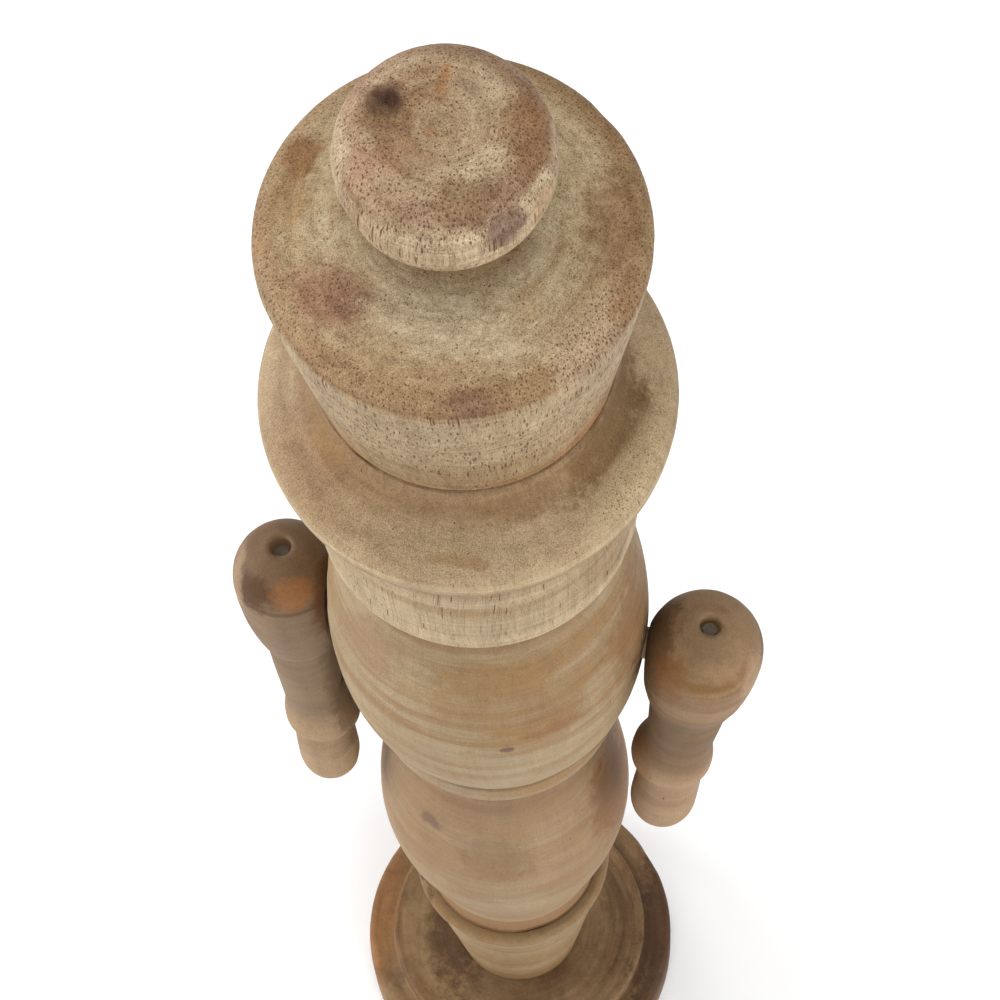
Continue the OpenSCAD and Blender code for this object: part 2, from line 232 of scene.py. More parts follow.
def lathe(name, points, closed, seed, segments, strength=1.0, hidden_r=HIDDEN_R):
    """An object turned round Z from an outline in mm, slightly worn outside hidden_r."""
    bm = bmesh.new()
    rings = []
    count = len(points)
    for i, p in enumerate(points):
        before = points[i - 1] if i else p
        after = points[i + 1] if i + 1 < count else p
        along = (after - before).normalized()
        inward = Vector((-along.y, along.x))
        if p.x < TINY:
            rings.append([bm.verts.new((0, 0, p.y * MM))])
            continue
        # a tight arris is the first thing to be rubbed off
        bend = turn_at(before, p, after) if 0 < i < count - 1 else 0.0
        ring = []
        for k in range(segments):
            angle = 2 * math.pi * k / segments
            radial = Vector((math.cos(angle), math.sin(angle), 0))
            place = radial * p.x + Vector((0, 0, p.y))
            depth = 0.0
            if p.x > hidden_r:
                depth = worn(place, seed, strength)
                rub = 0.5 + 0.5 * noise.noise(place * 0.35 + Vector((seed, 9, 0)))
                depth += min(bend, 0.5) * RUB * rub * rub
            shift = radial * inward.x * depth + Vector((0, 0, inward.y * depth))
            ring.append(bm.verts.new((place + shift) * MM))
        rings.append(ring)
    pairs = list(zip(rings, rings[1:])) + ([(rings[-1], rings[0])] if closed else [])
    for low, high in pairs:
        for k in range(segments):
            m = (k + 1) % segments
            corners = [low[k % len(low)], low[m % len(low)], high[m % len(high)], high[k % len(high)]]
            corners = list(dict.fromkeys(corners))
            if len(corners) > 2:
                bm.faces.new(corners)
    bmesh.ops.recalc_face_normals(bm, faces=bm.faces)
    for face in bm.faces:
        face.smooth = True
    return mesh_object(name, bm)


def rod(radius, start, end, segments=96):
    """A closed cylinder in metres between two points, for cutting with."""
    axis = end - start
    turn = Vector((0, 0, 1)).rotation_difference(axis.normalized()).to_matrix().to_4x4()
    bm = bmesh.new()
    bmesh.ops.create_cone(bm, cap_ends=True, segments=segments, radius1=radius, radius2=radius,
                          depth=axis.length)
    bm.transform(Matrix.Translation((start + end) / 2) @ turn)
    return mesh_object("cutter", bm)


def block(low, high):
    """A box in metres between two corners, for cutting with."""
    bm = bmesh.new()
    bmesh.ops.create_cube(bm, size=1)
    bm.transform(Matrix.Translation((low + high) / 2) @ Matrix.Diagonal((*(high - low), 1)))
    return mesh_object("cutter", bm)


def cut(obj, cutters):
    """Takes each cutter's shape out of obj, for good, and removes the cutters."""
    for cutter in cutters:
        modifier = obj.modifiers.new("cut", "BOOLEAN")
        modifier.operation = "DIFFERENCE"
        modifier.solver = "EXACT"
        modifier.object = cutter
    bpy.context.view_layer.update()
    done = bpy.data.meshes.new_from_object(obj.evaluated_get(bpy.context.evaluated_depsgraph_get()))
    obj.modifiers.clear()
    obj.data = done
    for cutter in cutters:
        bpy.data.objects.remove(cutter)


def turned_piece(name, seed):
    """A body piece turned from its CAD node's outline."""
    points = half_outline(nodes[name], Matrix.Identity(4))
    closed = points[0].x > TINY
    line = refined(softened(points))
    return lathe(name + "_wood", line, closed, seed, SEGMENTS)


def shoulder(side):
    """The centre of an arm's dowel, in metres: its joint's place."""
    return Vector(next(j["pos_m"] for j in frame["joints"] if j["name"] == side + "_arm_swing"))


def outward(side):
    """The direction from the chest to an arm."""
    return Vector((math.copysign(1, shoulder(side).x), 0, 0))


def arm_frame(side):
    """Where an arm's own turning axis lies at rest."""
    return (Matrix.Translation(shoulder(side))
            @ Matrix.Rotation(math.radians(-SWING[side]), 4, "X")
            @ Matrix.Rotation(math.radians(LEAN[side]), 4, "Y"))


def dowel(side):
    """A shoulder dowel's radius, and how far from the figure's middle its ends lie."""
    low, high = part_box(side + "_shoulder_dowel")
    ends = sorted((abs(low.x), abs(high.x)))
    return (high.y - low.y) / 2, ends[0], ends[1]


def smooth(value, none, whole):
    """0 at none, 1 at whole, and smooth between."""
    t = min(1.0, max(0.0, (value - none) / (whole - none)))
    return t * t * (3 - 2 * t)


def fill_out_cuff(mesh, side):
    """Makes the inner side of an arm's cuff fuller; the arm stands upright at the origin."""
    inward = -outward(side).x
    for v in mesh.vertices:
        climb = v.co.z / MM - CUFF[side]
        share = smooth(climb, *SWELL_FOOT) * smooth(climb, *SWELL_TOP)
        radius = math.hypot(v.co.x, v.co.y)
        if share == 0 or v.co.x * inward <= 0 or radius < MM:
            continue
        grown = 1 + share * SWELL * MM * abs(v.co.x) / radius**2
        v.co.x *= grown
        v.co.y *= grown


def arm_piece(side, seed):
    """An arm turned on its own axis, with the pin's hole in the top of the shoulder, the
    dowel's bore through it, and the flat planed on its inside."""
    node = nodes[side + "_arm"]
    place = arm_frame(side)
    points = half_outline(node, place.inverted())
    # the outline ends where the pin's head lies, above the dowel's bore
    floor = next(i for i, p in enumerate(points)
                 if i and p.x < PIN_SPLIT and points[i - 1].x > PIN_SPLIT and p.y > 0)
    points = points[:floor] + [Vector((0, points[floor - 1].y))]
    line = refined(softened(points), ARM_STEP)
    piece = lathe(side + "_arm_wood", line, False, seed, ARM_SEGMENTS, ARM_WEAR, hidden_r=0)
    fill_out_cuff(piece.data, side)
    piece.data.transform(place)
    centre = shoulder(side)
    out = outward(side)
    radius, _, dowel_end = dowel(side)
    flat_x = min(abs(v.co.x) for v in node.data.vertices
                 if abs(v.co.z - centre.z) < SHOULDER_BAND * MM)
    reach = abs(centre.x) - flat_x
    span = Vector((0, 1, 1)) * FLAT_SPAN * MM
    flat = [centre - out * (reach + FLAT_DEPTH * MM) - span, centre - out * reach + span]
    low = Vector([min(a, b) for a, b in zip(*flat)])
    high = Vector([max(a, b) for a, b in zip(*flat)])
    bore = rod(radius + ARM_FIT * MM, centre - out * (reach + 2 * MM),
               centre + out * (dowel_end - abs(centre.x) + ARM_BORE_SPARE * MM))
    cut(piece, [block(low, high), bore])
    return piece


def bore_torso(torso):
    """The torso is bored left and right for the shoulder dowels, which turn in it."""
    bores = []
    for side in SIDES:
        level = Vector((0, 0, shoulder(side).z))
        out = outward(side)
        radius, dowel_start, _ = dowel(side)
        bores.append(rod(radius + TORSO_FIT * MM, level + out * (dowel_start - DOWEL_END_GAP * MM),
                         level + out * TORSO_BORE_END * MM))
    cut(torso, bores)


# ---------------------------------------------------------------- wood

class Nodes:
    """A short way to write a material's nodes. Colours are linear, lengths in millimetres."""

    def __init__(self, name):
        self.material = bpy.data.materials.new(name)
        self.material.use_nodes = True
        self.tree = self.material.node_tree
        self.shader = self.tree.nodes["Principled BSDF"]

    def add(self, kind, **settings):
        node = self.tree.nodes.new(kind)
        for key, value in settings.items():
            setattr(node, key, value)
        return node

    def plug(self, socket, value):
        if isinstance(value, bpy.types.NodeSocket):
            self.tree.links.new(value, socket)
        else:
            socket.default_value = value

    def place(self, to_axis=None):
        """The place on the piece at rest, in mm; to_axis brings a leaning piece upright."""
        where = self.add("ShaderNodeTexCoord").outputs["Object"]
        if to_axis:
            mapping = self.add("ShaderNodeMapping")
            self.plug(mapping.inputs["Vector"], where)
            mapping.inputs["Location"].default_value = to_axis.to_translation()
            mapping.inputs["Rotation"].default_value = to_axis.to_euler()
            where = mapping.outputs[0]
        return self.vector("MULTIPLY", where, (1 / MM, 1 / MM, 1 / MM))

    def math(self, operation, a, b=0.0):
        node = self.add("ShaderNodeMath", operation=operation)
        self.plug(node.inputs[0], a)
        self.plug(node.inputs[1], b)
        return node.outputs[0]

    def swing(self, value, amount):
        """A 0 to 1 value as one that swings about zero by half of amount."""
        return self.math("MULTIPLY", self.math("SUBTRACT", value, 0.5), amount)

    def total(self, *values):
        out = values[0]
        for value in values[1:]:
            out = self.math("ADD", out, value)
        return out

    def vector(self, operation, a, b=(0, 0, 0)):
        node = self.add("ShaderNodeVectorMath", operation=operation)
        self.plug(node.inputs[0], a)
        self.plug(node.inputs[1], b)
        return node.outputs["Value" if operation in ("LENGTH", "DISTANCE") else "Vector"]

    def split(self, vector):
        node = self.add("ShaderNodeSeparateXYZ")
        self.plug(node.inputs[0], vector)
        return node.outputs

    def join(self, x, y, z):
        node = self.add("ShaderNodeCombineXYZ")
        for socket, value in zip(node.inputs, (x, y, z)):
            self.plug(socket, value)
        return node.outputs[0]

    def ramp(self, value, low, high):
        """0 below low, 1 above high, smooth between; low may be above high."""
        node = self.add("ShaderNodeMapRange", interpolation_type="SMOOTHSTEP")
        self.plug(node.inputs["Value"], value)
        a, b, start, end = (low, high, 0.0, 1.0) if low < high else (high, low, 1.0, 0.0)
        node.inputs["From Min"].default_value = a
        node.inputs["From Max"].default_value = b
        node.inputs["To Min"].default_value = start
        node.inputs["To Max"].default_value = end
        return node.outputs["Result"]

    def noise(self, place, size, stretch=(1, 1, 1), detail=2.0, rough=0.5, shift=0.0):
        """Soft noise from 0 to 1 with features about size mm across."""
        spot = self.vector("MULTIPLY", place, tuple(s / size for s in stretch))
        spot = self.vector("ADD", spot, (shift, shift * 0.7, shift * 1.3))
        node = self.add("ShaderNodeTexNoise")
        self.plug(node.inputs["Vector"], spot)
        node.inputs["Scale"].default_value = 1.0
        node.inputs["Detail"].default_value = detail
        node.inputs["Roughness"].default_value = rough
        return node.outputs[0]

    def mix(self, amount, a, b, blend="MIX"):
        node = self.add("ShaderNodeMix", data_type="RGBA", blend_type=blend)
        self.plug(node.inputs["Factor"], amount)
        colours = [s for s in node.inputs if s.type == "RGBA"]
        for socket, colour in zip(colours, (a, b)):
            self.plug(socket, (*colour, 1) if isinstance(colour, tuple) else colour)
        return next(s for s in node.outputs if s.type == "RGBA")

    def bump(self, height, depth, strength, normal=None):
        node = self.add("ShaderNodeBump")
        node.inputs["Strength"].default_value = strength
        node.inputs["Distance"].default_value = depth * MM
        self.plug(node.inputs["Height"], height)
        if normal:
            self.plug(node.inputs["Normal"], normal)
        return node.outputs["Normal"]


# The colours that several pieces share
TAN = (0.28, 0.178, 0.088)
GREY = (0.34, 0.255, 0.155)
CREAM = (0.43, 0.33, 0.205)
YELLOW = (0.255, 0.142, 0.052)
BROWN = (0.20, 0.112, 0.053)
PINK = (0.27, 0.15, 0.085)
ORANGE = (0.31, 0.13, 0.04)
UMBER = (0.075, 0.036, 0.017)
PLUM = (0.12, 0.062, 0.043)
KNOT = (0.035, 0.013, 0.006)
SAND = (0.37, 0.255, 0.158)
RUST = (0.21, 0.095, 0.032)
PORE = (0.10, 0.042, 0.021)

# Pores, in mm
PORE_REACH = 4.0  # about how long one stays open along the grain
COARSE_GAP = 0.66  # about how far apart the large ones lie
SMALL_GAP = 0.38  # the same for the small ones
SMALL_RADIUS = 0.075


def tubes(n, place, cell, radius, crowd, seed):
    """The pores that the surface cuts: tubes about cell mm apart along the grain, each open
    for PORE_REACH or so at a time. crowd, from 0 to 1, is the share of them that is open."""
    cells = n.add("ShaderNodeTexVoronoi", feature="F1", voronoi_dimensions="2D")
    flat = n.vector("MULTIPLY", place, (1 / cell, 1 / cell, 0))
    n.plug(cells.inputs["Vector"], n.vector("ADD", flat, (seed * 7.31, seed * 3.17, 0)))
    cells.inputs["Scale"].default_value = 1.0
    luck = n.split(cells.outputs["Color"])
    spell = n.add("ShaderNodeTexNoise", noise_dimensions="1D")
    along = n.math("MULTIPLY", n.split(place)[2], 1 / PORE_REACH)
    n.plug(spell.inputs["W"], n.math("ADD", along, n.math("MULTIPLY", luck[2], 60.0)))
    spell.inputs["Scale"].default_value = 1.0
    spell.inputs["Detail"].default_value = 0.0
    chance = n.math("ADD", luck[0], n.swing(spell.outputs[0], 1.6))
    open_now = n.ramp(n.math("SUBTRACT", crowd, chance), -0.06, 0.12)
    width = n.math("MULTIPLY", n.math("ADD", 0.65, n.math("MULTIPLY", luck[1], 0.7)), radius / cell)
    inside = n.math("DIVIDE", cells.outputs["Distance"], width)
    return n.math("MULTIPLY", n.ramp(inside, 1.25, 0.6), open_now)


def wood_patterns(n, seed, pith, to_axis):
    """The place on the piece, and the noises from 0 to 1 that make up the wood."""
    place = n.place(to_axis)
    own = n.vector("ADD", place, (seed * 71.0, seed * 43.0, seed * 29.0))
    x, y, z = n.split(place)

    # the grain wanders a little as it climbs
    sway = n.add("ShaderNodeTexNoise")
    n.plug(sway.inputs["Vector"], n.vector("MULTIPLY", own, (0.02, 0.02, 0.03)))
    sway.inputs["Scale"].default_value = 1.0
    drift = n.vector("SUBTRACT", sway.outputs["Color"], (0.5, 0.5, 0.5))
    grained = n.vector("ADD", place, n.vector("MULTIPLY", drift, (4, 4, 0)))

    # growth rings lie round the pith
    flat = n.vector("MULTIPLY", grained, (1, 1, 0))
    pith_gap = n.vector("DISTANCE", flat, (pith[0], pith[1], 0))
    warp = n.swing(n.noise(own, 14, (1, 1, 0.25), detail=2.0, shift=3.0), 5.0)
    growth = n.join(n.math("ADD", pith_gap, warp), seed * 9.7, 0)

    # what the lathe and the sandpaper leave runs round the axis: less of the cross-section
    # draws a noise out further round it
    off_axis = n.vector("LENGTH", n.vector("MULTIPLY", place, (1, 1, 0)))
    climb = n.math("ADD", n.math("MULTIPLY", z, 0.8), n.math("MULTIPLY", off_axis, 0.62))
    hoops, long_arcs, drawn_out = [
        n.join(n.math("MULTIPLY", x, share), n.math("MULTIPLY", y, share), climb)
        for share in (0.03, 0.07, 0.4)]

    return SimpleNamespace(
        place=place, own=own, z=z, grained=grained,
        rings=n.noise(growth, 3.2, detail=4.0, rough=0.65),
        lathe_lines=n.noise(hoops, 0.9, detail=4.0, rough=0.75, shift=seed * 2.0),
        arcs=n.noise(long_arcs, 3.4, detail=4.0, rough=0.55, shift=seed * 3.0),
        clouds=n.noise(drawn_out, 9, detail=4.0, rough=0.55, shift=seed * 5.0),
        blots=n.noise(drawn_out, 4, detail=5.0, rough=0.62, shift=17.0 + seed),
        fibres=n.noise(grained, 0.55, (1, 1, 0.04), detail=3.0, rough=0.65, shift=seed),
        streaks=n.noise(grained, 2.4, (1, 1, 0.09), detail=3.0, rough=0.6, shift=seed * 2),
        speckle=n.noise(own, 0.21, (1, 1, 0.7), detail=2.0, rough=0.8, shift=5.0),
        edge=n.noise(own, 3.0, (1, 1, 0.8), detail=8.0, rough=0.72, shift=9.0),
        patches=n.noise(own, 5, (1, 1, 0.6), detail=4.0, rough=0.6, shift=31.0))


def ground_colour(n, pattern, base, pale, warm, mottle):
    """The wood without its marks: base, with pale and warm clouds, arcs and blots in it."""
    layers = ((pattern.clouds, 0.4, 0.62, mottle, pale),
              (pattern.arcs, 0.49, 0.64, mottle, warm),
              (pattern.arcs, 0.49, 0.36, mottle, pale),
              (pattern.blots, 0.52, 0.7, 0.7 * mottle, warm),
              (pattern.rings, 0.54, 0.68, 0.5 * mottle, BROWN))
    colour = base
    for field, low, high, strength, tint in layers:
        colour = n.mix(n.math("MULTIPLY", n.ramp(field, low, high), strength), colour, tint)
    return colour


def band_share(n, pattern, low, high, blur):
    """1 between two heights, uneven and with wavering edges, and 0 beyond them."""
    wobble = n.swing(pattern.blots, 2.4)
    level = n.math("ADD", pattern.z, n.math("MULTIPLY", wobble, min(blur, 1.5)))
    inside = n.math("MULTIPLY", n.ramp(level, low - blur, low + blur),
                    n.ramp(level, high + blur, high - blur))
    uneven = n.math("ADD", 0.55, n.math("MULTIPLY", n.ramp(pattern.clouds, 0.35, 0.6), 0.45))
    return n.math("MULTIPLY", inside, uneven)


def spot_share(n, pattern, centre, size):
    """1 in the middle of a ragged blot, and 0 outside it."""
    gap = n.vector("DIVIDE", n.vector("SUBTRACT", pattern.place, centre), size)
    return n.ramp(n.math("ADD", n.vector("LENGTH", gap), n.swing(pattern.edge, 2.0)), 1.15, 0.5)


def shade(n, pattern, tone, grain, fine):
    """What lines and speckles do to the colour; the darker ones are also the redder ones."""
    light = n.total(1.0, n.swing(pattern.rings, 0.9 * grain), n.swing(pattern.streaks, 1.1 * grain),
                    n.swing(pattern.fibres, 1.3 * grain), n.swing(pattern.lathe_lines, 1.5 * grain),
                    n.swing(pattern.speckle, 2.3 * fine), n.swing(pattern.blots, 0.35))
    tinted = [n.math("POWER", n.math("MAXIMUM", light, 0.05), power) for power in (0.85, 1.0, 1.15)]
    return n.vector("MULTIPLY", n.join(*tinted), tone)


def wood(name, seed, base=TAN, pale=GREY, warm=YELLOW, tone=(1, 1, 1), mottle=0.6, pith=(14, 60),
         grain=0.5, fine=1.0, crowd=0.25, radius=0.1, stains_and_painted_light=(), bands=(), to_axis=None):
    """Raw open-pored hardwood, turned and sanded.

    base, pale and warm are its ground colours, mottle is how far they differ, and tone
    shades the whole piece. pith is where in mm the tree's centre lay in the cross-section.
    grain is the strength of the lines in the wood and fine that of its finest texture.
    crowd is how many of the coarse pores are open, and radius their size in mm.
    stains are (place, size in mm, colour, strength, more pores); besides real discolouring,
    some are painted shade, painted shadow and painted sheen.
    bands are (low, high, blur in mm, colour, strength, more pores); some are painted shade
    and painted highlight.
    to_axis brings a leaning piece upright.
    """
    n = Nodes(name)
    pattern = wood_patterns(n, seed, pith, to_axis)
    marks = [(band_share(n, pattern, *band[:3]), *band[3:]) for band in bands]
    marks += [(spot_share(n, pattern, *spot_mark[:2]), *spot_mark[2:]) for spot_mark in stains_and_painted_light]
    colour = ground_colour(n, pattern, base, pale, warm, mottle)
    more_pores = []
    for share, tint, strength, extra in marks:
        colour = n.mix(n.math("MULTIPLY", share, strength), colour, tint)
        if extra:
            more_pores.append(n.math("MULTIPLY", share, extra))
    colour = n.mix(1.0, colour, shade(n, pattern, tone, grain, fine), "MULTIPLY")

    # two sizes of pores
    crowded = n.total(crowd, n.swing(pattern.patches, 1.3), n.swing(pattern.rings, 0.7), *more_pores)
    coarse = tubes(n, pattern.grained, COARSE_GAP, radius, crowded, seed)
    small = tubes(n, pattern.grained, SMALL_GAP, SMALL_RADIUS, n.math("ADD", crowded, 0.5), seed + 50)
    colour = n.mix(n.math("MULTIPLY", small, 0.55 * fine), colour, PORE)
    colour = n.mix(n.math("MULTIPLY", coarse, 0.85), colour, PORE)
    n.plug(n.shader.inputs["Base Color"], colour)

    rough = n.total(0.5, n.math("MULTIPLY", pattern.fibres, 0.16), n.math("MULTIPLY", pattern.blots, 0.14))
    n.plug(n.shader.inputs["Roughness"], n.math("ADD", rough, n.math("MULTIPLY", coarse, 0.25)))
    n.shader.inputs["Specular IOR Level"].default_value = 0.2
    relief = n.bump(pattern.fibres, 0.08, 0.5)
    relief = n.bump(pattern.lathe_lines, 0.12, 0.3, relief)
    relief = n.bump(n.math("SUBTRACT", 1.0, n.math("MAXIMUM", coarse, small)), 0.07, 0.5, relief)
    n.plug(n.shader.inputs["Normal"], relief)
    return n.material


def steel():
    """Dull steel with some rust, for the screw and the pins."""
    n = Nodes("dull_steel")
    place = n.place()
    scale = n.noise(place, 0.8, detail=4.0)
    colour = n.mix(scale, (0.05, 0.04, 0.03), (0.15, 0.125, 0.095))
    colour = n.mix(n.ramp(n.noise(place, 1.4, shift=4.0), 0.5, 0.75), colour, (0.1, 0.052, 0.027))
    n.plug(n.shader.inputs["Base Color"], colour)
    n.shader.inputs["Metallic"].default_value = 0.85
    n.plug(n.shader.inputs["Roughness"], n.math("ADD", 0.38, n.math("MULTIPLY", scale, 0.3)))
    n.plug(n.shader.inputs["Normal"], n.bump(n.noise(place, 0.17, detail=3.0), 0.05, 0.6))
    return n.material


def felt():
    """Dark pressed felt, for the pad under the foot."""
    n = Nodes("felt")
    place = n.place()
    hairs = n.noise(place, 0.28, detail=5.0, rough=0.75)
    tufts = n.noise(place, 1.7, detail=3.0, shift=8.0)
    colour = n.mix(hairs, (0.035, 0.027, 0.022), (0.1, 0.08, 0.065))
    colour = n.mix(n.math("MULTIPLY", tufts, 0.4), colour, (0.075, 0.06, 0.05))
    n.plug(n.shader.inputs["Base Color"], colour)
    n.plug(n.shader.inputs["Roughness"], n.math("ADD", 0.85, n.math("MULTIPLY", hairs, 0.12)))
    n.shader.inputs["Sheen Weight"].default_value = 0.4
    n.plug(n.shader.inputs["Normal"], n.bump(hairs, 0.3, 0.9))
    return n.material


# ---------------------------------------------------------------- the pieces

BODY = ("knob", "hat_crown", "hat_brim", "head", "torso", "hips", "leg", "base")

# What makes each arm's wear and each arm's wood its own; a body piece has its number
WEAR_SEED = {"left": 13, "right": 14}
WOOD_SEED = {"left": 11, "right": 14}

pieces = {}
for number, name in enumerate(BODY, 1):
    pieces[name] = turned_piece(name, number)
for side in SIDES:
    pieces[side + "_arm"] = arm_piece(side, WEAR_SEED[side])
bore_torso(pieces["torso"])

